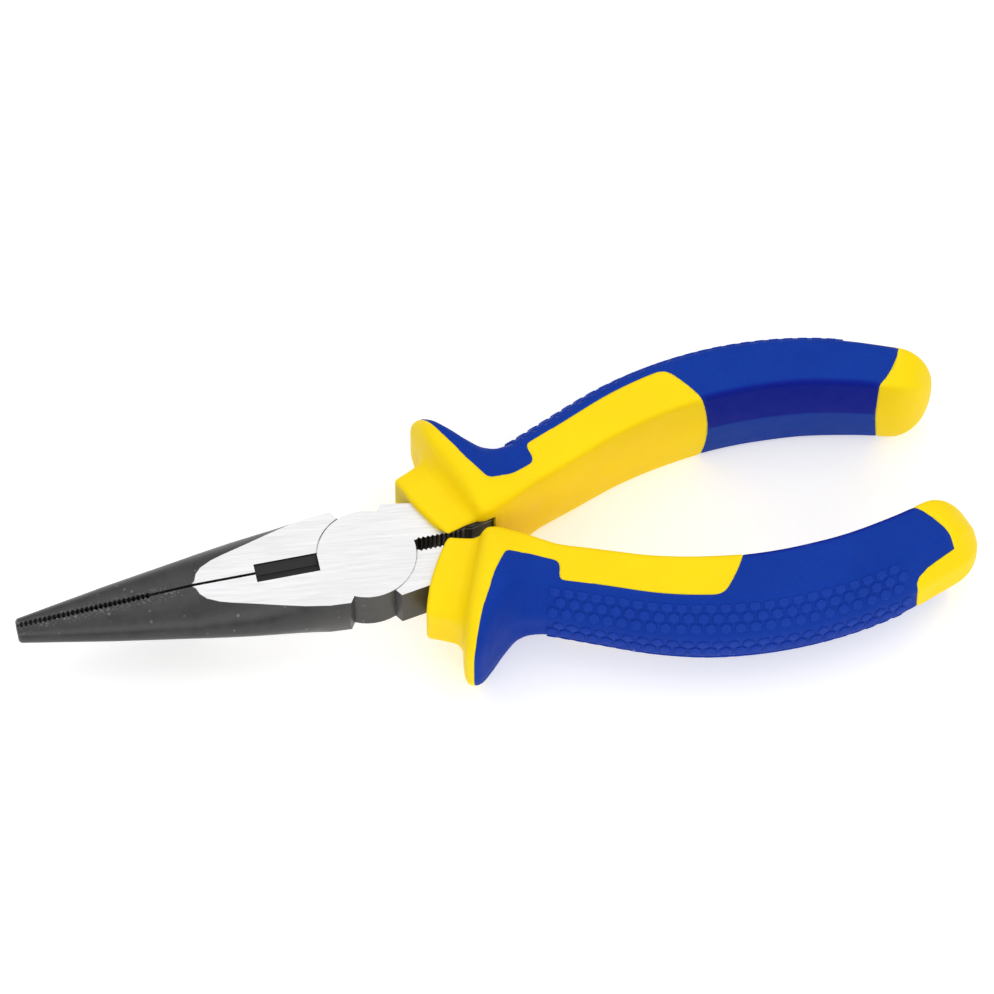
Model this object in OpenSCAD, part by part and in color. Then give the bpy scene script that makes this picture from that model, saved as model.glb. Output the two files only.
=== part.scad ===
// Needle nose pliers, 160 mm long: two lap jointed levers on one flush rivet,
// and a moulded two colour grip with an end cap on each handle.
// The tips point along -X, the grips along +X, and the front face looks along +Z.
// The origin is on the pivot axis, at the rear face of the joint.

/* [Joint] */
// Radius of the round lap joint
joint_r = 8.4; // [8.2:0.1:8.6]
// Thickness of the steel at the joint and the ground faces
joint_t = 9; // [8.6:0.1:9.4]
// Radius of the rivet's shank
rivet_r = 2.4; // [2:0.1:2.8]
// Radius of the rivet's flush countersunk heads
rivet_head_r = 3.5; // [3.2:0.1:4]
// Running clearance between steel faces that slide on each other
clearance = 0.05; // [0.03:0.01:0.08]

/* [Jaws] */
// Distance from the pivot to the tip
jaw_len = 60.1; // [56:0.1:64]
// Half width of the tip
tip_r = 2.1; // [1.8:0.05:2.4]
// Height of the line where the jaws meet, above the pivot in plan
bite_y = 0.25; // [0:0.05:0.4]
// Gap between the closed jaws
bite_gap = 0.5; // [0.2:0.05:0.6]
// Length of the serrated stretch behind the tip
serration_len = 23; // [15:1:30]
// Pitch of all the serrations
tooth_pitch = 0.8; // [0.6:0.05:1]
// Depth of one serration
tooth_depth = 0.35; // [0.2:0.05:0.4]
// Length of the wire cutter's window
window_len = 10.85; // [8:0.05:11]
// Width of the wire cutter's window
window_w = 3.5; // [3:0.1:4]

/* [Handles] */
// Angle between the straight part of a handle and the X axis
handle_tilt = 21.8; // [21.5:0.1:22.2]
// Radius of the bow of a handle
bow_r = 70; // [66:1:74]
// Width of the serrated gap between the handles behind the joint
throat_w = 2.04; // [1.8:0.02:2.2]
// Distance along a handle at which its steel ends
tang_end = 91; // [80:1:95]

/* [Grips] */
// Distance along a handle at which the collar starts
collar_start = 11.8; // [11.6:0.1:12]
// Depth of the raised colour line from the grip's outer ridge
panel_inset = 1.45; // [1:0.05:2]
// Wall of the inner sleeve around the steel
sleeve_wall = 1.2; // [1:0.1:1.3]

/* [Hidden] */

mid = joint_t / 2;
lap_gap = 0.04;
big = 40;
steel_colour = [0.78, 0.78, 0.79];
yellow_colour = [1.0, 0.83, 0.08];
blue_colour = [0.10, 0.20, 0.58];

// ---- jaws ----
// Along X: half width of the forged jaw, half width of its ground faces, and half
// height of the stretch in front of the ground faces.
jaw_half_w = [[-jaw_len, tip_r], [-44, 5.15], [-29.5, 7.6], [-22, 8.7], [-18.6, 9.1],
              [-15, 9.4], [-12, 9.55], [-3, 9.45]];
jaw_face_w = [[-29.5, 0.3], [-29, 1.8], [-28, 2.95], [-26, 4.0], [-24, 4.65],
              [-20, 5.75], [-16, 6.9], [-12, 8.0], [-8, 8.75], [-3, 9.2]];
face_start = -29.5;
jaw_half_h = [[-jaw_len, 1.9], [face_start, mid]];
jaw_stations = [-jaw_len + 0.35, -56, -50, -44, -38, -33, face_start, -29.25, -29,
                -28.5, -28, -27, -26, -25, -24, -22, -20, -18, -16, -14, -12, -10, -8, -1];
jaw_sides = 16;
tip_round = 0.35;
window_start = -8.25 - window_len;
window_rim = 0.5;
cutter_depth = 1.1;
cutter_gap = 0.1;
least_wall = 0.3;

// Half height of the oval that the ground faces cut.
function oval_h(x) =
    x <= face_start ? lookup(x, jaw_half_h) :
    mid / sqrt(1 - pow(lookup(x, jaw_face_w) / lookup(x, jaw_half_w), 2));

// One ring of the upper jaw at x, from the bite over its outer side and back.
function jaw_ring(x, inset = 0) =
    let (a = lookup(x, jaw_half_w) - inset, b = oval_h(x) - inset,
         top = min(asin(min(1, mid / b)), acos(least_wall / a)), z = b * sin(top))
    concat(
        [[x, bite_y + cutter_gap / 2, mid + z]],
        [for (i = [0:jaw_sides])
            let (t = top * (1 - 2 * i / jaw_sides))
            [x, bite_y + a * cos(t), mid + b * sin(t)]],
        [[x, bite_y + cutter_gap / 2, mid - z]]
    );

// Triangles that join rings of equal size, with a fan over each end.
function ring_faces(rings, sides) = concat(
    [for (k = [0:rings - 2], i = [0:sides - 1], half = [0, 1])
        let (a = k * sides + i, b = k * sides + (i + 1) % sides)
        half == 0 ? [a, b, b + sides] : [a, b + sides, a + sides]],
    [for (i = [1:sides - 2]) [0, i + 1, i]],
    [for (i = [1:sides - 2])
        let (o = (rings - 1) * sides) [o, o + i, o + i + 1]]
);

module loft(rings) {
    polyhedron(
        points = [for (r = rings) each r],
        faces = ring_faces(len(rings), len(rings[0])),
        convexity = 6
    );
}

// Saw tooth edge along X: the teeth point away from the body they are cut in.
function tooth_edge(from, to, y, depth) = [
    for (x = [from:tooth_pitch:to - tooth_pitch], k = [0, 1])
        [x + k * tooth_pitch / 2, y + (k == 0 ? 0 : depth)]
];

// Plan of what is cut off the bite of the upper jaw in front of the cutter.
module bite_plan() {
    edge = bite_gap / 2;
    polygon(concat(
        [[-jaw_len - 1, -2], [-jaw_len - 1, edge]],
        tooth_edge(-jaw_len + 0.5, -jaw_len + serration_len, edge, tooth_depth),
        [[-jaw_len + serration_len, edge], [window_start, edge], [window_start, -2]]
    ));
}

module upper_jaw() {
    difference() {
        loft(concat(
            [jaw_ring(-jaw_len, tip_round)],
            [for (x = jaw_stations) jaw_ring(x)]
        ));
        translate([0, bite_y, -1])
            linear_extrude(joint_t + 2)
                bite_plan();
        // the shoulder that stops the levers when they open
        translate([0, 0, -1])
            linear_extrude(joint_t + 2)
                polygon([[-2.4, 6.15], [-5.2, 10.35], [3, 12], [3, 5]]);
    }
}

module jaw(side) {
    translate([0, bite_y, 0])
        mirror([0, side < 0 ? 1 : 0, 0])
            translate([0, -bite_y, 0])
                upper_jaw();
}

// The wire cutter's window: a recess in each face, bevelled down to an edge.
module cutter_window() {
    for (face = [0, 1])
        translate([window_start, bite_y, mid])
            mirror([0, 0, face])
                rotate([90, 0, 90])
                    linear_extrude(window_len)
                        polygon([
                            [-window_w / 2, mid + 1],
                            [-window_w / 2, mid - window_rim],
                            [0, mid - cutter_depth],
                            [window_w / 2, mid - window_rim],
                            [window_w / 2, mid + 1]
                        ]);
}

// ---- handles ----
// The centre line: straight at handle_tilt, then a bow, then straight again.
// Places on it are given by their distance s from the pivot.
offset_v = 0.5;
bow_start = 45.4;
end_tilt = -19;
bow_end = bow_start + (handle_tilt - end_tilt) * PI / 180 * bow_r;

function tilt_at(s) =
    max(end_tilt, handle_tilt - max(0, s - bow_start) * 180 / PI / bow_r);

function along(a) = [cos(a), sin(a)];
function across(a) = [-sin(a), cos(a)];

bow_first = bow_start * along(handle_tilt) + offset_v * across(handle_tilt);
bow_centre = bow_first - bow_r * across(handle_tilt);
bow_last = bow_centre + bow_r * across(end_tilt);

// Plan position of the point at distance s along and v outward of the line.
function at(s, v) =
    s < bow_start ? s * along(handle_tilt) + (offset_v + v) * across(handle_tilt) :
    s < bow_end ? bow_centre + (bow_r + v) * across(tilt_at(s)) :
    bow_last + (s - bow_end) * along(end_tilt) + v * across(end_tilt);

// A strip of the plan that follows the centre line between two offsets.
function strip(from, to, inner, outer, steps = 14) = concat(
    [for (k = [0:steps]) let (s = from + (to - from) * k / steps)
        at(s, lookup(s, inner))],
    [for (k = [steps:-1:0]) let (s = from + (to - from) * k / steps)
        at(s, lookup(s, outer))]
);

neck_s = 22.4;
tang_half_t = 2.4;
tang_inner = [[20, -3], [40, -3], [tang_end, -1.8]];
tang_outer = [[20, 3.2], [26, 2.4], [40, 2.2], [tang_end, 1.6]];

// Half thickness of the root along X: ground flat, then thicker under the collar.
root_half_t = [[0, mid], [14, mid], [15.2, 5.2], [18, 5.3], [25, 6.8]];
// Half height of the opening that the grip leaves in front of the root's teeth.
throat_half_t = [[0, 5.25], [18, 5.45], [22.3, 6.4]];

// The exposed root of a handle, from the joint to the neck inside the grip.
module root_plan() {
    edge = throat_w / 2;
    teeth_from = 8.8;
    teeth_to = 18.4;
    polygon(concat(
        [[2, edge]],
        tooth_edge(teeth_from, teeth_to, edge, tooth_depth),
        [[teeth_to, edge], at(neck_s, -7), at(neck_s, 3.4), at(12, 3.4),
         [4.2, 9.05], [2.85, 7.05], [2, 4]]
    ));
}

// A bar along X whose half height follows a table, from one Y to another.
module height_bar(table, from_y, to_y) {
    translate([0, to_y, mid])
        rotate([90, 0, 0])
            linear_extrude(to_y - from_y)
                polygon(concat(
                    [for (p = table) p],
                    [for (i = [len(table) - 1:-1:0]) [table[i][0], -table[i][1]]]
                ));
}

module tang() {
    intersection() {
        translate([0, 0, mid - big / 2])
            linear_extrude(big)
                root_plan();
        height_bar(root_half_t, 0, big);
    }
    translate([0, 0, mid - tang_half_t])
        linear_extrude(2 * tang_half_t)
            polygon(strip(neck_s - 2, tang_end, tang_inner, tang_outer));
}

// Rivet solid, or the hole for it when it is made with a clearance.
module rivet_shape(gap, over) {
    head_h = rivet_head_r - rivet_r;
    translate([0, 0, -over])
        cylinder(r = rivet_r + gap, h = joint_t + 2 * over, $fn = 64);
    for (face = [0, 1])
        translate([0, 0, face * joint_t])
            mirror([0, 0, face])
                translate([0, 0, -over])
                    cylinder(r1 = rivet_head_r + gap + over, r2 = rivet_r + gap,
                             h = head_h + over, $fn = 64);
}

// One lever. side is +1 for the lever with the upper jaw and the lower handle,
// whose lap disc is at the rear, and -1 for the other one.
module lever(side) {
    front = side < 0;
    difference() {
        union() {
            difference() {
                union() {
                    jaw(side);
                    mirror([0, front ? 0 : 1, 0])
                        tang();
                }
                translate([0, 0, front ? -1 : mid - lap_gap / 2])
                    cylinder(r = joint_r + clearance, h = mid + 1 + lap_gap / 2, $fn = 96);
            }
            translate([0, 0, front ? mid + lap_gap / 2 : 0])
                cylinder(r = joint_r, h = mid - lap_gap / 2, $fn = 96);
        }
        cutter_window();
        rivet_shape(front ? 0 : clearance, 0.5);
    }
}

module front_lever() {
    color(steel_colour)
        lever(-1);
}

module rear_lever() {
    color(steel_colour)
        lever(1);
}

module pivot_rivet() {
    color(steel_colour)
        intersection() {
            rivet_shape(0, 0.5);
            cylinder(r = rivet_head_r + 1, h = joint_t, $fn = 64);
        }
}

// ---- grips ----
// Stations of the grip's outer form. Each holds the distance along the centre
// line, the half widths inward and outward of it, the half height, the width of
// the sloping facet on the outer side, and the half height of the flat outer face.
collar_stations = [
    [collar_start, 5.0, 8.4, 5.2, 3.8, 3.6],
    [collar_start + 0.6, 5.6, 9.0, 5.9, 4.1, 4.2],
    [14.5, 5.7, 9.2, 5.95, 4.2, 4.2],
    [17.0, 5.8, 9.5, 6.1, 4.2, 4.2],
    [18.4, 6.1, 10.8, 7.0, 4.1, 4.4]
];
guard_stations = [
    [19.2, 6.5, 14.2, 9.0, 3.8, 4.9],
    [19.8, 6.8, 15.8, 9.9, 3.6, 5.4],
    [21.0, 7.2, 16.6, 10.6, 3.6, 5.8],
    [22.3, 7.2, 16.0, 10.7, 3.6, 5.7],
    [23.4, 7.1, 14.2, 10.5, 3.6, 5.3],
    [24.8, 7.0, 10.9, 10.1, 3.5, 4.7],
    [26.6, 6.8, 7.6, 9.4, 3.5, 3.9],
    [29.0, 6.5, 5.9, 8.8, 3.5, 3.1]
];
body_stations = [
    [32, 6.2, 5.3, 8.6, 3.5, 2.8],
    [38, 6.25, 5.5, 8.8, 3.5, 2.8],
    [45, 6.3, 5.75, 9.0, 3.6, 2.8],
    [52, 6.5, 5.95, 9.2, 3.6, 2.8],
    [60, 6.6, 6.05, 9.4, 3.6, 2.8],
    [68, 6.6, 6.05, 9.4, 3.6, 2.8],
    [76, 6.55, 6.0, 9.4, 3.6, 2.8],
    [84, 6.3, 5.95, 9.3, 3.6, 2.8],
    [91, 6.1, 5.85, 9.1, 3.6, 2.8],
    [97, 5.8, 5.65, 8.8, 3.5, 2.7]
];
end_stations = [
    [101, 5.5, 5.35, 8.3, 3.3, 2.5],
    [103.5, 4.9, 4.75, 7.4, 2.9, 2.2],
    [105.4, 3.8, 3.7, 5.9, 2.2, 1.7],
    [106.9, 1.9, 1.8, 3.2, 1.1, 0.8]
];
grip_stations = concat(collar_stations, guard_stations, body_stations, end_stations);
parting_bulge = 0.3;
corner_r = 1.3;
facing_y = 0.2;
grip_drop = 0.8;
lean_end = 17;
lean_v = 5;
lean_rate = 0.013;

// How far the body of the grip lies below the middle of the joint.
function drop_at(s) = grip_drop * max(0, min(1, (s - 22) / 10));

// How far the collar's front stands back at the offset v.
function lean(s, v) =
    lean_rate * pow(v - lean_v, 2)
        * max(0, min(1, (lean_end - s) / (lean_end - collar_start)));

function unit(p) = p / norm(p);

// Three points that round the corner p, between its neighbours a and b.
function rounded(a, p, b, r) =
    let (p0 = p + r * unit(a - p), p2 = p + r * unit(b - p))
    [p0, (p0 + 2 * p + p2) / 4, p2];

// The grip's section at a station, in outward and upward distances.
function section(g) =
    let (wi = g[1], wo = g[2], h = g[3], f = g[4], e = g[5],
         r = min(corner_r, wi / 3),
         c = [[-wi - parting_bulge, 0], [-wi, h], [wo - f, h], [wo, e],
              [wo, -e], [wo - f, -h], [-wi, -h]])
    concat([c[0]], [for (i = [1:6]) each rounded(c[i - 1], c[i], c[(i + 1) % 7], r)]);

function grip_ring(g) = [
    for (p = section(g))
        let (q = at(g[0] + lean(g[0], p[0]), p[0]))
        [q[0], q[1], mid + drop_at(g[0]) + p[1]]
];

module grip_form() {
    intersection() {
        mirror([0, 0, 1])
            translate([0, 0, -joint_t])
                loft([for (g = grip_stations) grip_ring(g)]);
        translate([0, facing_y, mid - big / 2])
            cube([120, big, big]);
    }
}

module slab(points, half_t = big / 2, drop = 0) {
    translate([0, 0, mid - drop - half_t])
        linear_extrude(2 * half_t)
            polygon(points);
}

// Plan of all the yellow in front of the end cap: the collar, the front of the
// guard, and the panel that runs back along the inner side.
panel_start = 33;
panel_stop = 60.6;
panel_stop_inner = 65.2;
window_v = -2.7;
yellow_plan = concat(
    [at(9, -12), at(9, 20), at(21, 20), at(21.4, 13), at(22.3, 5),
     at(24, -2.2), at(24.8, window_v), at(32, window_v + 0.1),
     at(32.9, -1.6), at(panel_start + 0.2, 0.6), at(panel_start + 1.2, panel_inset)],
    [for (s = [38:5:58]) at(s, panel_inset)],
    [at(panel_stop, panel_inset - 0.2), at(63, -2.4), at(panel_stop_inner, -6),
     at(panel_stop_inner, -12)]
);

// Plan of the end cap, and of the tongue that it sends along the outer side.
cap_start = 98;
tongue_start = 92.3;
tongue_half_t = 4.7;
cap_plan = [
    at(cap_start, -12), at(cap_start + 0.5, -5.8), at(99.9, -1.9), at(100.6, 2.1),
    at(100.4, 12), at(115, 12), at(115, -12)
];
tongue_plan = [at(tongue_start, 3), at(tongue_start, 12), at(103, 12), at(103, 3)];

module cap_zone() {
    slab(cap_plan);
    slab(tongue_plan, tongue_half_t, grip_drop);
}

// The inner sleeve, which carries the soft cover.
sleeve_end = 95;
sleeve_inner = [for (p = tang_inner) [p[0], p[1] - sleeve_wall]];
sleeve_outer = [for (p = tang_outer) [p[0], p[1] + sleeve_wall]];

module sleeve() {
    slab(strip(neck_s - 2, sleeve_end, sleeve_inner, sleeve_outer),
         tang_half_t + sleeve_wall);
}

// The room in front of the steel's serrated inner side, which the core leaves open.
module throat() {
    height_bar(throat_half_t, -2, throat_w / 2 + tooth_depth + 0.05);
}

module grip_core() {
    difference() {
        union() {
            intersection() {
                grip_form();
                slab(yellow_plan);
            }
            sleeve();
        }
        tang();
        throat();
    }
}

module grip_cover() {
    difference() {
        grip_form();
        slab(yellow_plan);
        cap_zone();
        sleeve();
    }
}

module end_cap() {
    difference() {
        intersection() {
            grip_form();
            cap_zone();
        }
        sleeve();
    }
}

module below() {
    mirror([0, 1, 0])
        children();
}

module upper_grip_core() {
    color(yellow_colour)
        grip_core();
}

module upper_grip_cover() {
    color(blue_colour)
        grip_cover();
}

module upper_end_cap() {
    color(yellow_colour)
        end_cap();
}

module lower_grip_core() {
    color(yellow_colour)
        below() grip_core();
}

module lower_grip_cover() {
    color(blue_colour)
        below() grip_cover();
}

module lower_end_cap() {
    color(yellow_colour)
        below() end_cap();
}

front_lever();
rear_lever();
pivot_rivet();
upper_grip_core();
upper_grip_cover();
upper_end_cap();
lower_grip_core();
lower_grip_cover();
lower_end_cap();
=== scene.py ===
"""Needle nose pliers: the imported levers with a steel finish, and moulded two colour grips."""

import math

import bpy
import bmesh
import numpy as np
from mathutils import Matrix, Vector


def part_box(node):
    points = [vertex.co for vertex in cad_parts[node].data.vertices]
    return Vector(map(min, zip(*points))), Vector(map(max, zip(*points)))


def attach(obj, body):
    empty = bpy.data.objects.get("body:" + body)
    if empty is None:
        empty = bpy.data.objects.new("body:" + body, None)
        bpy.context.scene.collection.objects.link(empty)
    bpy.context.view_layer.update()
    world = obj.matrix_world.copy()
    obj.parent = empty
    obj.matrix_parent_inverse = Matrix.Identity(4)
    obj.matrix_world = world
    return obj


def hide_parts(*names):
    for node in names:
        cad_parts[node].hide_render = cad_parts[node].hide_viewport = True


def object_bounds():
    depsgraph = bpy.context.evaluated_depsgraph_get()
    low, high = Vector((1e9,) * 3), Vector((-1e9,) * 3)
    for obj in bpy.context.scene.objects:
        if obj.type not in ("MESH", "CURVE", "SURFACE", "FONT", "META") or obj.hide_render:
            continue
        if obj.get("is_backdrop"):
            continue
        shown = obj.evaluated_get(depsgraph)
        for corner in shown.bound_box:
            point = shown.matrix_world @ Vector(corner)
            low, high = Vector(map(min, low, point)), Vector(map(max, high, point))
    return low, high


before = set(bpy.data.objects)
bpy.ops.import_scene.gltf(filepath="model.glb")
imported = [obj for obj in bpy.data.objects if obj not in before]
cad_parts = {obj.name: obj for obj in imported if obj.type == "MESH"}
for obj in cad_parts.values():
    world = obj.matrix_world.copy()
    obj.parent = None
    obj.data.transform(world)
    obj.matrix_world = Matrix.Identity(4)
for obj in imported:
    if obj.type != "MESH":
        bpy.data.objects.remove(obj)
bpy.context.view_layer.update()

MM = 0.001
RIVET_LOW, RIVET_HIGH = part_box("pivot_rivet")
MID = (RIVET_LOW.z + RIVET_HIGH.z) / 2 / MM
HALF_T = (RIVET_HIGH.z - RIVET_LOW.z) / 2 / MM

# ---------------------------------------------------------------- centre line
TILT = math.radians(21.8)
END_TILT = math.radians(-19)
BOW_R = 70.0
BOW_START = 45.4
OFFSET_V = 0.5
BOW_END = BOW_START + (TILT - END_TILT) * BOW_R


def along(a):
    """Unit vector of the centre line at the angle a."""
    return np.array([math.cos(a), math.sin(a)])


def across(a):
    """Unit vector outward of the centre line at the angle a."""
    return np.array([-math.sin(a), math.cos(a)])


BOW_FIRST = BOW_START * along(TILT) + OFFSET_V * across(TILT)
BOW_CENTRE = BOW_FIRST - BOW_R * across(TILT)
BOW_LAST = BOW_CENTRE + BOW_R * across(END_TILT)


def plan(s, v):
    """Plan position of points at distance s along the grip's centre line and v outward of it."""
    s = np.asarray(s, float)
    v = np.asarray(v, float)
    a = np.clip(TILT - (s - BOW_START) / BOW_R, END_TILT, TILT)
    normal = np.stack([-np.sin(a), np.cos(a)], -1)
    first = s[..., None] * along(TILT) + OFFSET_V * across(TILT)
    last = BOW_LAST + (s - BOW_END)[..., None] * along(END_TILT)
    bow = BOW_CENTRE + BOW_R * normal
    base = np.where((s < BOW_START)[..., None], first, np.where((s < BOW_END)[..., None], bow, last))
    return base + v[..., None] * normal


# ---------------------------------------------------------------- grip form
# distance along, half width inward, half width outward, half height,
# width of the sloping facet, half height of the flat outer face
STATIONS = np.array([
    [11.6, 5.5, 9.1, 5.85, 4.1, 4.3],
    [14.5, 5.6, 9.2, 5.95, 4.2, 4.3],
    [17.0, 5.8, 9.5, 6.1, 4.2, 4.3],
    [18.4, 6.1, 10.8, 7.0, 4.1, 4.4],
    [19.1, 6.45, 13.8, 8.7, 3.8, 4.8],
    [19.7, 6.8, 15.7, 9.5, 4.2, 5.0],
    [20.4, 7.0, 16.5, 9.8, 4.4, 5.2],
    [21.3, 7.2, 16.7, 9.9, 4.4, 5.3],
    [22.3, 7.2, 16.0, 9.9, 4.2, 5.2],
    [23.4, 7.1, 13.7, 9.8, 3.9, 5.0],
    [24.8, 7.0, 10.3, 9.5, 3.6, 4.5],
    [26.6, 6.8, 7.2, 9.1, 3.5, 3.9],
    [29.0, 6.5, 5.9, 8.7, 3.5, 3.1],
    [32.0, 6.2, 5.35, 8.6, 3.5, 2.8],
    [38.0, 6.25, 5.5, 8.8, 3.5, 2.8],
    [45.0, 6.3, 5.75, 9.0, 3.6, 2.8],
    [52.0, 6.5, 5.95, 9.2, 3.6, 2.8],
    [60.0, 6.6, 6.05, 9.4, 3.6, 2.8],
    [68.0, 6.6, 6.05, 9.4, 3.6, 2.8],
    [76.0, 6.55, 6.0, 9.4, 3.6, 2.8],
    [84.0, 6.3, 5.95, 9.3, 3.6, 2.8],
    [91.0, 6.1, 5.85, 9.1, 3.6, 2.8],
    [97.0, 5.8, 5.65, 8.8, 3.5, 2.7],
    [102.0, 5.6, 5.5, 8.4, 3.4, 2.6],
    [107.5, 5.4, 5.3, 8.1, 3.3, 2.5],
])
# collar's front face, and the radius of its edge
FRONT_S = 11.72
FRONT_ROUND = 0.7
MOUTH_CENTRE = np.array([-1.0, 0.0])
MOUTH_HALF = (4.4, 4.15)
MOUTH_DEEP = 1.2
# rounded far end
END_FROM = 100.2
END_LEN = 6.5
END_POWER = 2.12
END_TIP = 0.04
# nothing comes nearer than this to the plane between the grips
FACING_Y = 0.2
GRIP_DROP = 0.8
DROP_FROM = 22
DROP_LEN = 10
LEAN_RATE = 0.013
LEAN_V = 5.0
LEAN_END = 17.0
# the guard's middle and length, and how its front and rear faces are crowned
GUARD_S = 22.5
GUARD_LEN = 7.0
CROWN_RISE = 0.1
CROWN_V = 2.5
CROWN_INWARD = 6.5
CROWN_OUTWARD = 14.0


def drop_at(s):
    """How far the grip's body lies below the middle of the joint."""
    return GRIP_DROP * np.clip((np.asarray(s, float) - DROP_FROM) / DROP_LEN, 0, 1)


def guard_part(s):
    """1 in the middle of the guard, falling smoothly to 0 before and behind it."""
    return np.sin(np.clip(1 - abs(s - GUARD_S) / GUARD_LEN, 0, 1) * math.pi / 2) ** 2


def crown(s, v):
    """How the guard's front and rear faces are crowned, as a factor on their height."""
    width = np.where(v < CROWN_V, CROWN_INWARD, CROWN_OUTWARD)
    return 1 + CROWN_RISE * guard_part(s) * (1 - ((v - CROWN_V) / width) ** 2)


def lean(s, v):
    """How far the collar's front stands back at the offset v."""
    return LEAN_RATE * (v - LEAN_V) ** 2 * np.clip((LEAN_END - s) / (LEAN_END - FRONT_S), 0, 1)


def smooth(x, xs, ys):
    """Monotone cubic through the stations."""
    h = np.diff(xs)
    d = np.diff(ys) / h
    m = np.zeros(len(xs))
    m[0], m[-1] = d[0], d[-1]
    same = d[:-1] * d[1:] > 0
    w1, w2 = 2 * h[1:] + h[:-1], h[1:] + 2 * h[:-1]
    m[1:-1][same] = ((w1 + w2)[same]) / (w1[same] / d[:-1][same] + w2[same] / d[1:][same])
    i = np.clip(np.searchsorted(xs, x) - 1, 0, len(h) - 1)
    t = (x - xs[i]) / h[i]
    return (ys[i] * (1 + 2 * t) * (1 - t) ** 2 + m[i] * h[i] * t * (1 - t) ** 2
            + ys[i + 1] * t ** 2 * (3 - 2 * t) + m[i + 1] * h[i] * t ** 2 * (t - 1))


def sizes(s):
    """The five section sizes at each s."""
    return [smooth(s, STATIONS[:, 0], STATIONS[:, k]) for k in range(1, 6)]


# corner radii, the points round each, how much rounder the guard's are, and the points along each side
CORNER_R = (1.1, 1.0, 0.9, 0.9, 1.0, 1.1)
CORNER_STEPS = 5
GUARD_ROUND = 2.5
EDGE_STEPS = (22, 20, 17, 12, 17, 20, 22)
# how far the inner wall stands out at its parting line, before and behind the side panel's end
BULGE = (0.3, 0.7)
BULGE_FROM = 58
BULGE_LEN = 8


def section(s):
    """Rings of (outward, upward) points, one ring for each s."""
    wi, wo, h, f, e = sizes(s)
    bulge = BULGE[0] + (BULGE[1] - BULGE[0]) * np.clip((s - BULGE_FROM) / BULGE_LEN, 0, 1)
    z = np.zeros_like(s)
    corners = np.stack([
        np.stack([-wi - bulge, z], -1), np.stack([-wi, h], -1), np.stack([wo - f, h], -1),
        np.stack([wo, e], -1), np.stack([wo, -e], -1), np.stack([wo - f, -h], -1),
        np.stack([-wi, -h], -1)], 1)
    starts, ends, rounds = [corners[:, 0]], [], []
    for k in range(1, 7):
        p, a, b = corners[:, k], corners[:, k - 1], corners[:, (k + 1) % 7]
        back = np.linalg.norm(a - p, axis=-1, keepdims=True)
        ahead = np.linalg.norm(b - p, axis=-1, keepdims=True)
        wanted = CORNER_R[k - 1] * (1 + (GUARD_ROUND if 1 < k < 6 else 0) * guard_part(s))[:, None]
        r = np.minimum(wanted, 0.47 * np.minimum(back, ahead))
        p0 = p + r * (a - p) / back
        p2 = p + r * (b - p) / ahead
        t = (np.arange(CORNER_STEPS + 1) / CORNER_STEPS)[None, :, None]
        rounds.append((1 - t) ** 2 * p0[:, None] + 2 * t * (1 - t) * p[:, None] + t ** 2 * p2[:, None])
        ends.append(p0)
        starts.append(p2)
    ends.append(corners[:, 0])
    parts = []
    for k, n in enumerate(EDGE_STEPS):
        q = (np.arange(0 if k == 0 else 1, n) / n)[None, :, None]
        edge = starts[k][:, None] * (1 - q) + ends[k][:, None] * q
        if k in (0, 6):
            edge[..., 0] -= (0.5 * q * (1 - q))[..., 0]
        parts.append(edge)
        if k < 6:
            parts.append(rounds[k])
    return np.concatenate(parts, 1)


def ring_table():
    """Grid of (s, outward, upward), from the collar's mouth over its front to the end."""
    s = np.concatenate([
        np.linspace(FRONT_S + FRONT_ROUND, 18, 14), np.arange(18.2, 25, 0.2),
        np.arange(25.1, 34, 0.33), np.arange(34.3, END_FROM, 0.5)])
    rings = section(s)
    grid = [np.concatenate([np.repeat(s[:, None, None], rings.shape[1], 1), rings], -1)]
    # rounded front edge of the collar, and its flat front face
    first = rings[0]
    radius = np.linalg.norm(first, axis=-1)
    front = []
    for degrees in (75, 60, 45, 30, 15, 0):
        a = math.radians(degrees)
        shrink = 1 - FRONT_ROUND * (1 - math.sin(a)) / radius
        front.append(np.column_stack([
            np.full(len(first), FRONT_S + FRONT_ROUND * (1 - math.cos(a))), first * shrink[:, None]]))
    face = front[-1][:, 1:]
    rel = face - MOUTH_CENTRE
    reach = 1 / np.maximum(np.max(abs(rel) / MOUTH_HALF, axis=1), 1e-6)
    mouth = MOUTH_CENTRE + rel * np.minimum(reach, 0.985)[:, None]
    lip = [np.column_stack([np.full(len(face), FRONT_S), face * (1 - q) + mouth * q])
           for q in (0.25, 0.5, 0.75, 1.0)]
    lip.append(np.column_stack([np.full(len(face), FRONT_S + MOUTH_DEEP), mouth]))
    # rounded far end
    last = section(np.full(1, END_FROM))[0]
    end = []
    for a in np.radians(np.linspace(4, 86, 16)):
        k = math.cos(a) ** (2 / END_POWER)
        s_end = END_FROM + END_LEN * math.sin(a) ** (2 / END_POWER)
        size = section(np.full(1, s_end))[0]
        end.append(np.column_stack([np.full(len(last), s_end), size * k]))
    s_tip = END_FROM + END_LEN
    end.append(np.column_stack([np.full(len(last), s_tip), last * END_TIP]))
    start = np.stack(lip[::-1] + front[::-1])
    table = np.concatenate([start, grid[0], np.stack(end)], 0)
    table[..., 2] *= crown(table[..., 0], table[..., 1])
    table[..., 0] += lean(table[..., 0], table[..., 1])
    return table


def place(table):
    """3-D points in millimetres from a table of (s, outward, upward)."""
    xy = plan(table[..., 0], table[..., 1])
    y = np.maximum(xy[..., 1], FACING_Y)
    return np.stack([xy[..., 0], y, MID - drop_at(table[..., 0]) + table[..., 2]], -1)


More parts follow.
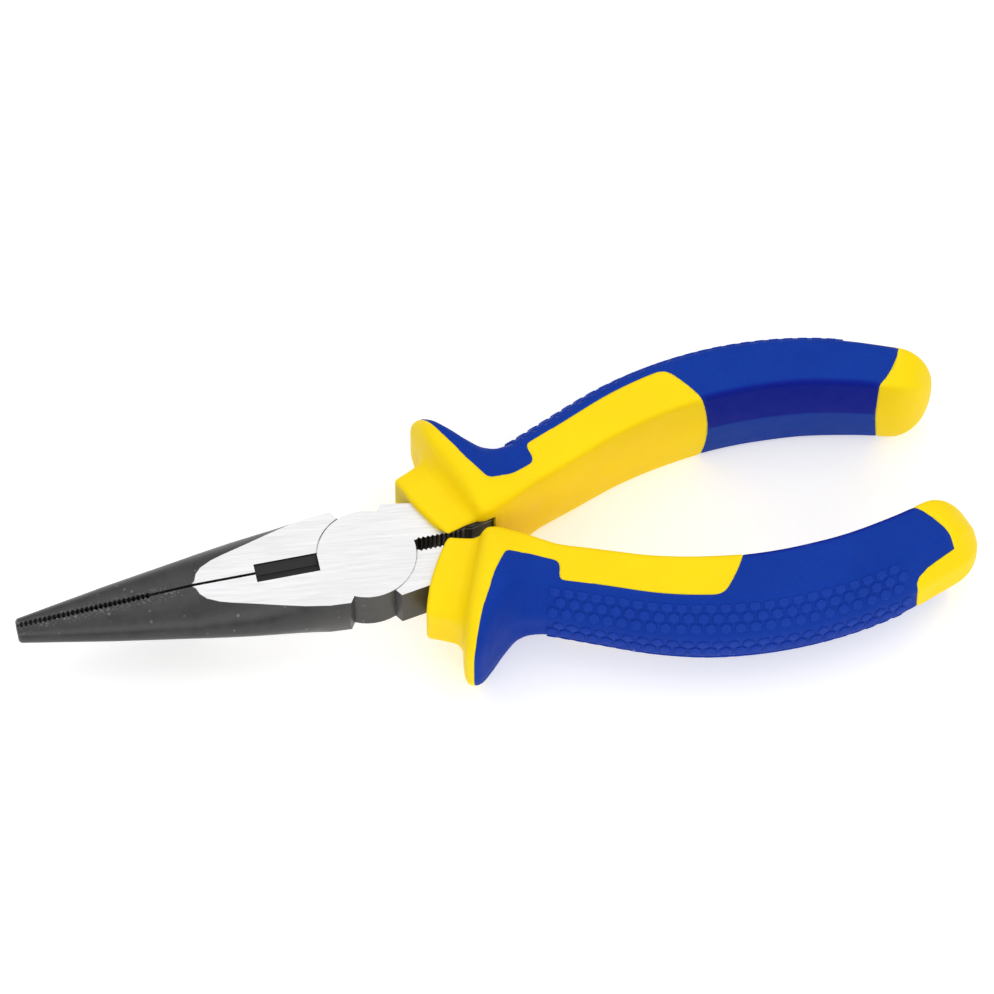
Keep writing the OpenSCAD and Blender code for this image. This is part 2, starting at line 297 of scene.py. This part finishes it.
def normals_of(p):
    """Outward normals of the closed rings."""
    du = np.gradient(p, axis=0)
    dv = np.roll(p, -1, 1) - np.roll(p, 1, 1)
    n = np.cross(du, dv)
    return n / np.maximum(np.linalg.norm(n, axis=-1, keepdims=True), 1e-9)


# ---------------------------------------------------------------- colour fields
def rounded_outline(corners):
    """Polygon from (s, v, radius) corners, each rounded by its radius."""
    pts = np.array([c[:2] for c in corners], float)
    out = []
    for k, (_, _, r) in enumerate(corners):
        p, a, b = pts[k], pts[k - 1], pts[(k + 1) % len(pts)]
        if r == 0:
            out.append(p)
            continue
        p0 = p + r * (a - p) / np.linalg.norm(a - p)
        p2 = p + r * (b - p) / np.linalg.norm(b - p)
        for t in np.linspace(0, 1, 8):
            out.append((1 - t) ** 2 * p0 + 2 * t * (1 - t) * p + t * t * p2)
    return np.array(out)


def signed_distance(q, poly):
    """Distance to a polygon, negative inside."""
    best = np.full(q.shape[:-1], 1e9)
    inside = np.zeros(q.shape[:-1], bool)
    for a, b in zip(poly, np.roll(poly, -1, 0)):
        ab = b - a
        t = np.clip(((q - a) @ ab) / (ab @ ab), 0, 1)
        best = np.minimum(best, np.linalg.norm(q - a - t[..., None] * ab, axis=-1))
        crosses = (a[1] > q[..., 1]) != (b[1] > q[..., 1])
        x = a[0] + (q[..., 1] - a[1]) / (ab[1] if ab[1] else 1e-9) * ab[0]
        inside ^= crosses & (q[..., 0] < x)
    return np.where(inside, -best, best)


# outline of the yellow core in (distance along, offset, corner radius)
YELLOW = rounded_outline([
    (5, 24, 0), (21.2, 24, 0), (21.3, 16.5, 0), (21.5, 13, 2), (21.6, 9.2, 1.5), (22.0, 6.9, 1),
    (22.4, 2.9, 1), (23.5, -2.2, 1.0), (28, -3.0, 1), (32.6, -2.8, 1.3), (33.1, 0.8, 1.0),
    (40, 0.75, 2), (52, 1.0, 2), (60.7, 1.1, 1.7), (63.0, -2.6, 1), (64.9, -6.4, 1.5),
    (65.2, -14, 0), (5, -14, 0)])
# the open throat between the levers: its height at each X, and how far it reaches outward
THROAT_X = (0, 18, 22.5)
THROAT_OUT = 1.9
PART_WIDTH = 0.25
THROAT_HIGH = (5.3, 5.5, 6.4)
# how far the panel's end bows out across the inner wall
PANEL_BOW = 0.9
# the cap's edge over the top and bottom, by offset, and down the outer side, by part of its height
CAP_TOP_V = (-7.0, -5.8, -3.8, -1.9, 0.4, 2.2)
CAP_TOP_S = (97.6, 98.1, 99.2, 99.9, 100.5, 100.6)
CAP_SIDE_PART = (0, 0.6, 0.75, 0.88, 1.0)
CAP_SIDE_S = (92.3, 92.4, 93.1, 95.0, 100.6)


def fields(table):
    """Signed distances to the yellow core, the end cap and the open throat, negative inside.

    The last field says where the inner wall is painted: 1 above its parting line, painted with shade, and
    -1 below it, painted with light.
    """
    s, v, z = table[..., 0], table[..., 1], table[..., 2]
    wi, wo, h, f, e = sizes(s)
    inner = np.clip((-v - wi + 1.2) / 1.0, 0, 1)
    bow = PANEL_BOW * inner * np.clip(1 - (z / h) ** 2, 0, 1)
    yellow = signed_distance(np.stack([s - bow, v], -1), YELLOW)
    side = np.interp(abs(z) / (h - e), CAP_SIDE_PART, CAP_SIDE_S)
    top = np.interp(v, CAP_TOP_V, CAP_TOP_S)
    cap = np.where(v > CAP_TOP_V[-1], side, top) - s
    xy = plan(s, v)
    high = np.interp(xy[..., 0], THROAT_X, THROAT_HIGH)
    throat = np.maximum.reduce([xy[..., 0] - THROAT_X[-1], abs(z) - high, xy[..., 1] - THROAT_OUT])
    # where the inner wall is painted with shade above its parting line and with light below it
    wall = np.clip((-v - wi + 0.9) / 0.5, 0, 1)
    wall_shade = wall * np.clip(z / PART_WIDTH, -1, 1)
    return yellow, cap, throat, wall_shade


# columns of a row: a point, its normal, then the fields
YELLOW_AT, CAP_AT, THROAT_AT, WALL_SHADE_AT = 6, 7, 8, 9
SNAP = 0.05


def split(rows, polys, column):
    """Cuts polygons along column = 0. Returns the rows, the polygons below and those above."""
    value = rows[:, column].copy()
    value[abs(value) < SNAP] = 0
    rows = list(rows)
    made, below, above = {}, [], []
    for poly in polys:
        vals = [value[i] for i in poly]
        if max(vals) <= 0:
            below.append(poly)
        elif min(vals) >= 0:
            above.append(poly)
        else:
            low, high = [], []
            for k, i in enumerate(poly):
                j = poly[(k + 1) % len(poly)]
                a, b = value[i], value[j]
                if a <= 0:
                    low.append(i)
                if a >= 0:
                    high.append(i)
                if a * b < 0:
                    key = (min(i, j), max(i, j))
                    if key not in made:
                        t = a / (a - b)
                        rows.append(rows[i] * (1 - t) + rows[j] * t)
                        made[key] = len(rows) - 1
                    low.append(made[key])
                    high.append(made[key])
            if len(low) > 2:
                below.append(tuple(low))
            if len(high) > 2:
                above.append(tuple(high))
    return np.array(rows), below, above


def mesh_object(name, points, polys, wall_shade=None):
    """A new smooth object from points in millimetres, carrying if given the mask of the inner wall's
    painted shade and painted light at each point.
    """
    used = sorted({i for p in polys for i in p})
    index = {old: new for new, old in enumerate(used)}
    mesh = bpy.data.meshes.new(name)
    mesh.from_pydata((points[used] * MM).tolist(), [], [[index[i] for i in p] for p in polys])
    if wall_shade is not None:
        mesh.attributes.new("wall_shade", "FLOAT", "POINT").data.foreach_set("value", wall_shade[used])
    mesh.validate()
    mesh.polygons.foreach_set("use_smooth", [True] * len(mesh.polygons))
    mesh.update()
    obj = bpy.data.objects.new(name, mesh)
    bpy.context.scene.collection.objects.link(obj)
    return obj


# the fine groove where two colours meet, how proud the yellow stands, and the skins' thickness
GROOVE_DEPTH = 0.07
GROOVE_WIDTH = 0.3
PROUD = 0.10
PROUD_ROUND = 0.35
SKIN = 0.7


def skin(name, rows, polys, edge_column, raised, flip):
    """One colour's skin, rounded down at its edge and made solid inward."""
    d = np.minimum.reduce([abs(rows[:, c]) for c in edge_column])
    lift = raised * (1 - np.exp(-d / PROUD_ROUND)) - GROOVE_DEPTH * np.exp(-(d / GROOVE_WIDTH) ** 2)
    points = rows[:, 0:3] + rows[:, 3:6] * lift[:, None]
    points[:, 1] = np.maximum(points[:, 1], FACING_Y)
    if flip:
        points = points * np.array([1, -1, 1])
        polys = [p[::-1] for p in polys]
    obj = mesh_object(name, points, polys, rows[:, WALL_SHADE_AT])
    solid = obj.modifiers.new("Wall", "SOLIDIFY")
    solid.thickness = SKIN * MM
    solid.offset = -1
    return obj


# ---------------------------------------------------------------- hexagon pads
HEX_PITCH = 2.36
HEX_R = 1.02
HEX_HIGH = 0.26
HEX_FROM = 32.6
HEX_TO = 91.0
HEX_PROFILE = ((1.0, -0.25), (1.0, 0.35), (0.93, 0.8), (0.8, 1.0))


def facet_point(s, q, side):
    """A point on the sloping facet, q millimetres from its upper ridge."""
    wi, wo, h, f, e = [float(x[0]) for x in sizes(np.array([s]))]
    length = math.hypot(f, h - e)
    v = wo - f + f * q / length
    z = h - (h - e) * q / length
    return place(np.array([s, v, side * z]))


def face_point(s, z):
    """A point on the flat outer face."""
    wo = float(sizes(np.array([s]))[1][0])
    return place(np.array([s, wo, z]))


def hexagon(at, s, q, q_low, q_high):
    """Rings of a low rounded hexagonal pad around (s, q) on a surface at(s, q)."""
    origin = at(s, q)
    ds = at(s + 0.2, q) - at(s - 0.2, q)
    dq = at(s, q + 0.2) - at(s, q - 0.2)
    ds, dq = ds / np.linalg.norm(ds), dq / np.linalg.norm(dq)
    up = np.cross(dq, ds)
    up = up / np.linalg.norm(up)
    if up[1] < 0:
        up = -up
    rings = []
    for radius, height in HEX_PROFILE:
        ring = []
        for k in range(6):
            a = math.radians(30 + 60 * k)
            ds_k = math.cos(a) * HEX_R * radius
            dq_k = math.sin(a) * HEX_R * radius
            dq_k = min(max(dq_k, (q_low - q) * radius), (q_high - q) * radius)
            ring.append(origin + ds * ds_k + dq * dq_k + up * height * HEX_HIGH)
        rings.append(ring)
    return np.array(rings)


# a limit too far off to cut a pad
FREE = 9


def pad_rows():
    """(surface function, distance across, shift along, lowest and highest distance)"""
    rows = []
    for side in (1, -1):
        def at(s, q, side=side):
            return facet_point(s, q, side)
        rows.append((at, 1.35, 0.0, 0.75, FREE))
        rows.append((at, 3.4, 0.5, 0, FREE))
        rows.append((at, 5.45, 0.0, 0, FREE))
    rows.append((face_point, HEX_R, 0.5, -FREE, FREE))
    rows.append((face_point, -HEX_R, 0.0, -FREE, FREE))
    return rows


def pads():
    """Points and polygons of all the pads of one grip."""
    points, polys = [], []
    for at, q, shift, low, high in pad_rows():
        s = HEX_FROM + shift * HEX_PITCH
        while s < HEX_TO:
            rings = hexagon(at, s, q, low, high)
            base = len(points)
            points.extend(rings.reshape(-1, 3))
            flip = np.dot(np.cross(rings[3, 1] - rings[3, 0], rings[3, 2] - rings[3, 1]),
                          rings[3, 0] - rings[0, 0]) < 0
            faces = [tuple(base + 18 + k for k in range(6)), tuple(base + k for k in range(5, -1, -1))]
            for r in range(3):
                low_ring, high_ring = base + 6 * r, base + 6 * r + 6
                for k in range(6):
                    n = (k + 1) % 6
                    faces.append((low_ring + k, low_ring + n, high_ring + n, high_ring + k))
            polys.extend(f[::-1] if flip else f for f in faces)
            s += HEX_PITCH
    return np.array(points), polys


PAD_SHARP = math.radians(50)


def grip(side, body):
    """The three moulded pieces of one handle. side is upper or lower."""
    table = ring_table()
    points = place(table)
    normals = normals_of(points)
    rows = np.concatenate([points, normals, np.stack(fields(table), -1)], -1)
    rings, around = rows.shape[:2]
    rows = rows.reshape(rings * around, -1)
    polys = []
    for i in range(rings - 1):
        for j in range(around):
            k = (j + 1) % around
            polys.append((i * around + j, (i + 1) * around + j, (i + 1) * around + k, i * around + k))
    polys.append(tuple((rings - 1) * around + j for j in reversed(range(around))))
    rows, _, polys = split(rows, polys, THROAT_AT)
    rows, core, rest = split(rows, polys, YELLOW_AT)
    rows, end, cover = split(rows, rest, CAP_AT)
    flip = side == "lower"
    pieces = {
        "grip_core": skin(side + "_core_skin", rows, core, (YELLOW_AT,), PROUD, flip),
        "grip_cover": skin(side + "_cover_skin", rows, cover, (YELLOW_AT, CAP_AT), 0.0, flip),
        "end_cap": skin(side + "_cap_skin", rows, end, (CAP_AT,), PROUD, flip)}
    pad_points, pad_polys = pads()
    if flip:
        pad_points = pad_points * np.array([1, -1, 1])
        pad_polys = [p[::-1] for p in pad_polys]
    pad = mesh_object(side + "_cover_pads", pad_points, pad_polys)
    for node, piece in pieces.items():
        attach(piece, body)
        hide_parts(side + "_" + node)
    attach(pad, body)
    for piece, slot in ((pieces["grip_core"], "yellow_plastic"), (pieces["end_cap"], "yellow_plastic"),
                        (pieces["grip_cover"], "blue_rubber"), (pad, "blue_rubber")):
        piece.data.materials.append(MATERIALS[slot])
    pad.data.set_sharp_from_angle(angle=PAD_SHARP)


# ---------------------------------------------------------------- materials
class Nodes:
    """Short helper for building a node material."""

    def __init__(self, name):
        self.material = bpy.data.materials.new(name)
        self.material.use_nodes = True
        self.tree = self.material.node_tree
        self.shader = self.tree.nodes["Principled BSDF"]
        self.place = self.add("ShaderNodeTexCoord").outputs["Object"]

    def add(self, kind, **values):
        node = self.tree.nodes.new(kind)
        for key, value in values.items():
            setattr(node, key, value)
        return node

    def link(self, a, b):
        self.tree.links.new(a, b)

    def set(self, name, value):
        socket = self.shader.inputs[name]
        if hasattr(value, "is_linked"):
            self.link(value, socket)
        else:
            socket.default_value = value

    def math(self, op, a, b=0.0):
        node = self.add("ShaderNodeMath", operation=op)
        for k, value in enumerate((a, b)):
            if hasattr(value, "is_linked"):
                self.link(value, node.inputs[k])
            else:
                node.inputs[k].default_value = value
        return node.outputs[0]

    def scaled(self, scale, turn=0.0):
        """The object's own coordinates, turned about Z and then stretched."""
        turned = self.add("ShaderNodeMapping")
        turned.inputs["Rotation"].default_value = (0, 0, turn)
        self.link(self.place, turned.inputs["Vector"])
        node = self.add("ShaderNodeMapping")
        node.inputs["Scale"].default_value = scale
        self.link(turned.outputs["Vector"], node.inputs["Vector"])
        return node.outputs["Vector"]

    def red(self, colour):
        node = self.add("ShaderNodeSeparateColor")
        self.link(colour, node.inputs["Color"])
        return node.outputs["Red"]

    def noise(self, vector, scale, detail=3.0, rough=0.5):
        node = self.add("ShaderNodeTexNoise")
        node.inputs["Scale"].default_value = scale
        node.inputs["Detail"].default_value = detail
        node.inputs["Roughness"].default_value = rough
        self.link(vector, node.inputs["Vector"])
        return node.outputs["Fac"]

    def range(self, value, low, high, to_low, to_high):
        node = self.add("ShaderNodeMapRange")
        self.link(value, node.inputs["Value"])
        for name, v in (("From Min", low), ("From Max", high), ("To Min", to_low), ("To Max", to_high)):
            node.inputs[name].default_value = v
        return node.outputs["Result"]

    def mix(self, factor, a, b):
        node = self.add("ShaderNodeMix", data_type="RGBA")
        for socket, value in ((node.inputs["Factor"], factor), (node.inputs[6], a), (node.inputs[7], b)):
            if hasattr(value, "is_linked"):
                self.link(value, socket)
            else:
                socket.default_value = value
        return node.outputs[2]

    def bump(self, height, distance, strength=1.0, under=None):
        node = self.add("ShaderNodeBump")
        node.inputs["Distance"].default_value = distance
        node.inputs["Strength"].default_value = strength
        self.link(height, node.inputs["Height"])
        if under is not None:
            self.link(under, node.inputs["Normal"])
        return node.outputs["Normal"]


GRAIN_DARK = 0.62
# painted shade for the upper half of the inner wall, and painted light for its lower half
WALL_UPPER_SHADE = (0.001, 0.006, 0.25, 1)
WALL_LOWER_LIGHT = (0.10, 0.20, 0.45, 1)
SPECK = (0.5, 0.6, 0.75, 1)


def moulded(name, light, dark, rough, grain, gloss, mottled, specks=False, upper_shade=0.0, lower_light=0.0):
    """Moulded plastic or rubber: slight mottling, a fine grain and worn edges.

    The last two arguments say how far the inner wall is painted with shade on its upper half and with
    light on its lower half.
    """
    n = Nodes(name)
    mottle = n.range(n.noise(n.place, 90, 4), 0.35, 0.65, 0, 1)
    colour = n.mix(mottle, dark, light)
    grains = n.range(n.noise(n.place, 2200, 4, 0.7), 0.35, 0.65, 0, mottled)
    colour = n.mix(grains, colour, tuple(GRAIN_DARK * c for c in dark[:3]) + (1,))
    # painted shade darkens the inner wall above its parting line, and painted light lightens it below
    wall_shade = n.add("ShaderNodeAttribute", attribute_name="wall_shade").outputs["Fac"]
    colour = n.mix(n.range(wall_shade, 0, 1, 0, upper_shade), colour, WALL_UPPER_SHADE)
    colour = n.mix(n.range(wall_shade, -1, 0, lower_light, 0), colour, WALL_LOWER_LIGHT)
    edge = n.range(n.add("ShaderNodeNewGeometry").outputs["Pointiness"], 0.52, 0.6, 0, 0.35)
    colour = n.mix(edge, colour, tuple(min(1, c * 1.25 + 0.02) for c in light[:3]) + (1,))
    if specks:
        spots = n.add("ShaderNodeTexVoronoi", feature="F1")
        spots.inputs["Scale"].default_value = 170
        n.link(n.place, spots.inputs["Vector"])
        near = n.range(spots.outputs["Distance"], 0.03, 0.06, 1, 0)
        chosen = n.math("GREATER_THAN", n.red(spots.outputs["Color"]), 0.93)
        colour = n.mix(n.math("MULTIPLY", n.math("MULTIPLY", near, chosen), 0.5), colour, SPECK)
    n.set("Base Color", colour)
    n.set("Roughness", n.range(n.noise(n.place, 320, 3), 0.3, 0.7, rough - 0.05, rough + 0.07))
    n.set("Specular IOR Level", gloss)
    fine = n.noise(n.place, 2600, 2)
    broad = n.noise(n.place, 260, 2)
    n.set("Normal", n.bump(fine, grain * MM, 0.6, n.bump(broad, 0.05 * MM, 0.35)))
    return n.material


JOINT_R = 8.4
RIVET_R = 3.5
STREAK_TURN = 0.12
FLECK = (0.3, 0.3, 0.3, 1)
NICK = (0.28, 0.28, 0.28, 1)
DIRT = (0.03, 0.027, 0.025, 1)
SHADED = (0.010, 0.010, 0.010, 1)
# the bite line's worn strip on the jaws
WORN_WIDTH = (0.5, 1.8)
WORN_X = (-34, -30)
# window and throat, where painted shade keeps the steel darkest
HOLLOW_Y = (4.2, 4.5)
HOLLOW_X = -22


def steel(name, line_from, line_to, line_side, dirt_low):
    """Ground bright on the two faces, blackened elsewhere.

    A fine dark line of dirt lies between two radii, on the face that line_side names:
    +1 for the front face, -1 for the rear face and 0 for both. It shows where the
    dirt's noise is over dirt_low.
    """
    n = Nodes(name)
    parts = n.add("ShaderNodeSeparateXYZ")
    n.link(n.place, parts.inputs["Vector"])
    above = n.math("SUBTRACT", parts.outputs["Z"], MID * MM)
    height = n.math("ABSOLUTE", above)
    ground = n.math("MULTIPLY", n.range(height, (HALF_T - 0.05) * MM, (HALF_T - 0.015) * MM, 0, 1),
                    n.range(height, (HALF_T + 0.02) * MM, (HALF_T + 0.06) * MM, 1, 0))

    fine = n.noise(n.scaled((150, 2800, 150), STREAK_TURN), 1.0, 3, 0.6)
    broad = n.noise(n.scaled((50, 700, 50), STREAK_TURN), 1.0, 2)
    bright = n.mix(n.range(fine, 0.3, 0.7, 0, 1), (0.68, 0.68, 0.69, 1), (0.83, 0.83, 0.84, 1))
    bright = n.mix(n.range(broad, 0.4, 0.7, 0, 0.2), bright, (0.64, 0.64, 0.65, 1))

    radius = n.math("SQRT", n.math("ADD", n.math("MULTIPLY", parts.outputs["X"], parts.outputs["X"]),
                                   n.math("MULTIPLY", parts.outputs["Y"], parts.outputs["Y"])))
    inside = n.math("LESS_THAN", radius, line_to * MM)
    outside = n.math("GREATER_THAN", radius, line_from * MM)
    line = n.math("MULTIPLY", inside, outside)
    if line_side:
        line = n.math("MULTIPLY", line, n.math("GREATER_THAN", n.math("MULTIPLY", above, line_side), 0.0))
    dirt = n.range(n.noise(n.place, 160, 3), dirt_low, dirt_low + 0.2, 0.0, 0.85)
    bright = n.mix(n.math("MULTIPLY", line, dirt), bright, DIRT)

    blotch = n.noise(n.place, 300, 4, 0.6)
    black = n.mix(n.range(blotch, 0.35, 0.7, 0, 1), (0.030, 0.029, 0.029, 1), (0.046, 0.045, 0.045, 1))
    flecks = n.add("ShaderNodeTexVoronoi", feature="F1")
    flecks.inputs["Scale"].default_value = 900
    n.link(n.place, flecks.inputs["Vector"])
    fleck = n.math("MULTIPLY", n.range(flecks.outputs["Distance"], 0.12, 0.3, 1, 0),
                   n.math("GREATER_THAN", n.red(flecks.outputs["Color"]), 0.9))
    black = n.mix(n.math("MULTIPLY", fleck, 0.35), black, FLECK)

    aside = n.math("ABSOLUTE", parts.outputs["Y"])
    worn = n.math("MULTIPLY", n.range(aside, WORN_WIDTH[0] * MM, WORN_WIDTH[1] * MM, 1, 0),
                  n.range(parts.outputs["X"], WORN_X[0] * MM, WORN_X[1] * MM, 1, 0))
    nicks = n.range(n.noise(n.place, 2600, 3, 0.7), 0.56, 0.7, 0, 0.8)
    black = n.mix(n.math("MULTIPLY", worn, nicks), black, NICK)
    sunk = n.range(height, (HALF_T - 0.4) * MM, (HALF_T - 0.2) * MM, 1, 0)
    hollow_shade = n.math("MULTIPLY", n.range(aside, HOLLOW_Y[0] * MM, HOLLOW_Y[1] * MM, 1, 0),
                    n.math("MULTIPLY", sunk, n.math("GREATER_THAN", parts.outputs["X"], HOLLOW_X * MM)))
    # painted shade: the recessed steel in the window and throat turns near black
    black = n.mix(hollow_shade, black, SHADED)
    n.set("Base Color", n.mix(ground, black, bright))
    n.set("Metallic", n.range(ground, 0, 1, 0.25, 0.45))
    rough_bright = n.range(fine, 0.3, 0.7, 0.34, 0.46)
    rough_black = n.range(blotch, 0.3, 0.7, 0.32, 0.44)
    n.set("Roughness", n.math("ADD", n.math("MULTIPLY", rough_bright, ground),
                              n.math("MULTIPLY", rough_black, n.math("SUBTRACT", 1.0, ground))))
    n.set("Normal", n.bump(fine, 0.004 * MM, 0.7, n.bump(n.noise(n.place, 1400, 3), 0.010 * MM, 0.5)))
    return n.material


MATERIALS = {
    "yellow_plastic": moulded("yellow_plastic", (0.99, 0.72, 0.002, 1), (0.97, 0.69, 0.002, 1),
                              0.5, 0.010, 0.12, 0.05),
    # blue rubber, whose last two numbers give the inner wall's painted shade above and painted light
    # below
    "blue_rubber": moulded("blue_rubber", (0.004, 0.042, 0.36, 1), (0.003, 0.037, 0.33, 1),
                           0.6, 0.018, 0.08, 0.35, True, 0.85, 0.04)}
STEEL_FINISH = {
    "front_lever": steel("steel_front", JOINT_R, JOINT_R + 0.2, -1, 0.3),
    "rear_lever": steel("steel_rear", JOINT_R, JOINT_R + 0.2, 1, 0.3),
    "pivot_rivet": steel("steel_rivet", RIVET_R - 0.06, RIVET_R + 0.1, 0, 0.52)}


# ---------------------------------------------------------------- steel pieces
STEEL_SHARP = math.radians(20)


def steel_piece(node, name, body):
    """A welded, smooth shaded copy of a packed steel node."""
    bm = bmesh.new()
    bm.from_mesh(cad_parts[node].data)
    bmesh.ops.remove_doubles(bm, verts=bm.verts, dist=1e-7)
    points = np.array([v.co[:] for v in bm.verts]) / MM
    polys = [[v.index for v in f.verts] for f in bm.faces]
    bm.free()
    obj = mesh_object(name, points, polys)
    obj.data.set_sharp_from_angle(angle=STEEL_SHARP)
    obj.data.materials.append(STEEL_FINISH[node])
    weighted = obj.modifiers.new("Normals", "WEIGHTED_NORMAL")
    weighted.keep_sharp = True
    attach(obj, body)
    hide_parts(node)


steel_piece("front_lever", "front_lever_steel", "front_half")
steel_piece("rear_lever", "rear_lever_steel", "rear_half")
steel_piece("pivot_rivet", "rivet_steel", "front_half")
grip("upper", "front_half")
grip("lower", "rear_half")


# ---------------------------------------------------------------- studio
FLOOR_HALF = 3.0
FLOOR_GLOW = 0.45
WORLD_LOW = 0.3
WORLD_HIGH = 0.8


def area_light(name, position, target, size, power):
    """A rectangular soft light at a position, aimed at a target."""
    data = bpy.data.lights.new(name, "AREA")
    data.shape = "RECTANGLE"
    data.size, data.size_y = size
    data.energy = power
    obj = bpy.data.objects.new(name, data)
    obj.location = position
    obj.rotation_euler = (Vector(target) - Vector(position)).to_track_quat("-Z", "Y").to_euler()
    bpy.context.scene.collection.objects.link(obj)


def studio():
    """A plain pale floor under the object, a soft white sky and two soft lights."""
    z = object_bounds()[0][2]
    r = FLOOR_HALF
    mesh = bpy.data.meshes.new("floor")
    mesh.from_pydata([(-r, -r, z), (r, -r, z), (r, r, z), (-r, r, z)], [], [(0, 1, 2, 3)])
    floor = bpy.data.objects.new("floor", mesh)
    bpy.context.scene.collection.objects.link(floor)
    n = Nodes("floor_paper")
    n.set("Base Color", n.mix(n.noise(n.place, 30, 2), (0.74, 0.74, 0.74, 1), (0.75, 0.75, 0.75, 1)))
    n.set("Emission Color", (1, 1, 1, 1))
    n.set("Emission Strength", FLOOR_GLOW)
    n.set("Roughness", 0.9)
    n.set("Specular IOR Level", 0.1)
    mesh.materials.append(n.material)
    floor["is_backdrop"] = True
    world = bpy.data.worlds.new("studio")
    world.use_nodes = True
    tree = world.node_tree
    direction = tree.nodes.new("ShaderNodeTexCoord")
    split_up = tree.nodes.new("ShaderNodeSeparateXYZ")
    rise = tree.nodes.new("ShaderNodeMapRange")
    tree.links.new(direction.outputs["Generated"], split_up.inputs["Vector"])
    tree.links.new(split_up.outputs["Z"], rise.inputs["Value"])
    for name, value in (("From Min", 0.15), ("From Max", 0.6),
                        ("To Min", WORLD_LOW), ("To Max", WORLD_HIGH)):
        rise.inputs[name].default_value = value
    sky = tree.nodes["Background"]
    sky.inputs["Color"].default_value = (1, 1, 1, 1)
    tree.links.new(rise.outputs["Result"], sky.inputs["Strength"])
    bpy.context.scene.world = world
    area_light("key", (0.10, 0.45, 0.9), (0.02, 0, 0), (1.6, 1.2), 3.9)
    area_light("fill", (0.0, -0.8, 0.55), (0, 0, 0), (1.2, 0.5), 2.9)
    bpy.context.scene.view_settings.view_transform = "Standard"


CAMERA_RIGHT = Vector((0.9776, -0.2105, 0.0))
CAMERA_UP = Vector((0.1817, 0.8437, 0.5053))
CAMERA_DISTANCE = 1.5
CAMERA_SHIFT = (0.02196, 0.01187)
CAMERA_LENS = 321.5


def camera():
    """The camera, placed by the directions that are right and up in its view."""
    right = CAMERA_RIGHT.normalized()
    up = (CAMERA_UP - right * CAMERA_UP.dot(right)).normalized()
    back = right.cross(up)
    pivot = Vector((0, 0, MID * MM))
    data = bpy.data.cameras.new("camera")
    data.lens = CAMERA_LENS
    data.sensor_width = 36
    data.clip_start = 0.05
    data.clip_end = 20
    obj = bpy.data.objects.new("camera", data)
    where = pivot + back * CAMERA_DISTANCE + right * CAMERA_SHIFT[0] + up * CAMERA_SHIFT[1]
    obj.matrix_world = Matrix.Translation(where) @ Matrix((right, up, back)).transposed().to_4x4()
    bpy.context.scene.collection.objects.link(obj)
    bpy.context.scene.camera = obj


studio()
camera()
